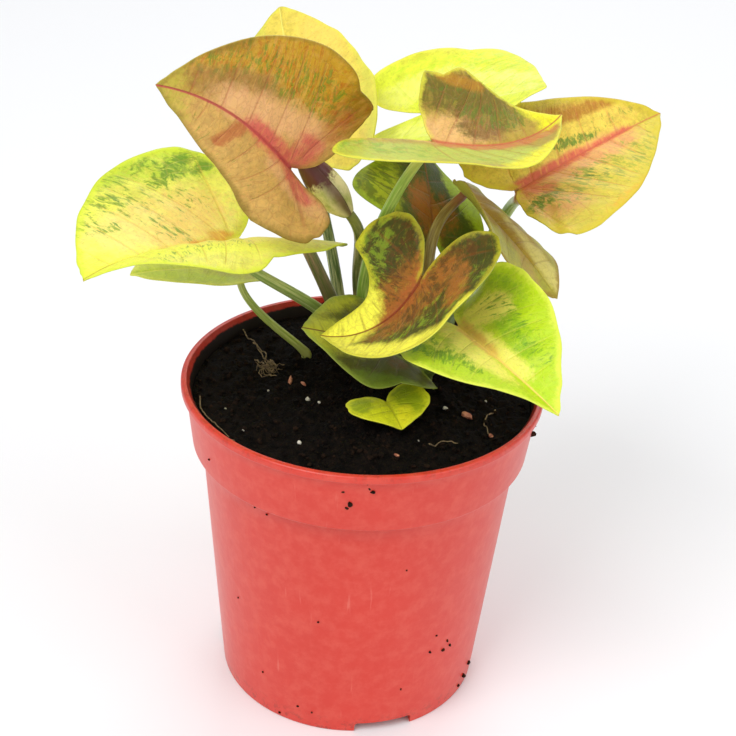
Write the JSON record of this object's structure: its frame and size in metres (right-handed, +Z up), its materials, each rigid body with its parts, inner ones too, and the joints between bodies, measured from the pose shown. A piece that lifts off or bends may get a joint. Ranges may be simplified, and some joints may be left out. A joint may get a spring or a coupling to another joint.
{
  "type": "potted arrowhead plant",
  "caption": "Young arrowhead plant with heart-shaped variegated leaves on slender petioles, standing in peat in a small tapered plastic nursery pot.",
  "frame": {"origin": "on the ground plane that the pot's foot ring rests on, under the middle of the whole plant's bounding box", "axes": "+Z up along the pot's axis; the picture looks roughly along +Y, with +X to its right"},
  "size_m": [0.092, 0.0728, 0.1189],
  "materials": {
    "pot_plastic": "satin",
    "peat": "matt, crumbly",
    "petiole_green": "satin",
    "leaf_lime": "satin, mottled",
    "leaf_pink_tan": "satin, mottled",
    "leaf_dark_green": "satin, mottled",
    "leaf_maroon": "satin"
  },
  "bodies": {
    "root": {"pot": "pot_plastic", "peat": "peat", "blade_upper_left": "leaf_pink_tan", "blade_top_back_left": "leaf_lime", "blade_left": "leaf_lime", "blade_left_lower": "leaf_lime", "blade_top_back_right": "leaf_lime", "blade_top_front": "leaf_pink_tan", "blade_right": "leaf_pink_tan", "blade_right_drooping": "leaf_pink_tan", "blade_centre": "leaf_dark_green", "blade_lower_right": "leaf_lime", "blade_under_centre": "leaf_dark_green", "blade_behind_centre": "leaf_dark_green", "blade_small_heart": "leaf_lime", "rolled_leaf": "leaf_maroon", "petiole_upper_left": "petiole_green", "petiole_top_back_left": "petiole_green", "petiole_left": "petiole_green", "petiole_left_lower": "petiole_green", "petiole_top_back_right": "petiole_green", "petiole_top_front": "petiole_green", "petiole_right": "petiole_green", "petiole_right_drooping": "petiole_green", "petiole_centre": "petiole_green", "petiole_lower_right": "petiole_green", "petiole_under_centre": "petiole_green", "petiole_behind_centre": "petiole_green", "petiole_small_heart": "petiole_green", "petiole_rolled_leaf": "petiole_green"}
  },
  "joints": []
}
